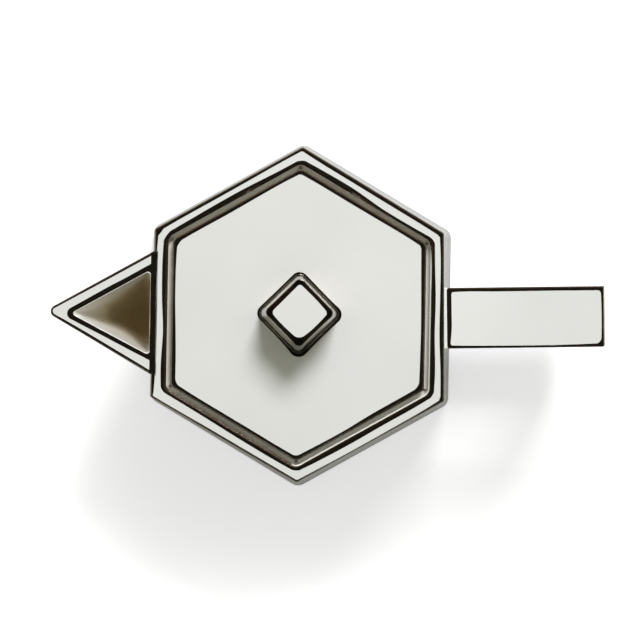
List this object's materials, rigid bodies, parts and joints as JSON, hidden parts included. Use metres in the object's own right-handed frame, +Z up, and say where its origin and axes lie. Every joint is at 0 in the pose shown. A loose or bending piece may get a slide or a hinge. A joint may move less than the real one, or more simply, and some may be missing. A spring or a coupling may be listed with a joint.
{
  "type": "teapot",
  "caption": "Hexagonal white porcelain teapot with a triangular open spout, a rectangular strap handle, a lift-off lid with a square knob, and platinum-lined edges.",
  "frame": {"origin": "on the axis of the hexagonal body, at the ground face of the foot that stands on the table", "axes": "+Z up, +X towards the handle, -X towards the spout; the XZ plane runs through spout and handle"},
  "size_m": [0.2336, 0.162, 0.13],
  "materials": {
    "glazed_porcelain": "gloss",
    "biscuit_porcelain": "matte",
    "platinum_lustre": "polished"
  },
  "bodies": {
    "pot": {"foot": "biscuit_porcelain", "body": "glazed_porcelain", "lid_seat": "glazed_porcelain", "spout": "glazed_porcelain", "handle": "glazed_porcelain", "rim_outer_line": "platinum_lustre", "rim_inner_line": "platinum_lustre", "spout_outer_line": "platinum_lustre", "spout_inner_line": "platinum_lustre", "handle_line_frame": "platinum_lustre"},
    "lid": {"lid_plate": "glazed_porcelain", "lid_flange": "glazed_porcelain", "knob": "glazed_porcelain", "lid_edge_line": "platinum_lustre", "knob_platinum": "platinum_lustre"}
  },
  "joints": [
    {"name": "lid_lift", "type": "slide", "parent": "pot", "child": "lid", "axis": [0, 0, 1], "range_m": [0, 0.04]}
  ]
}
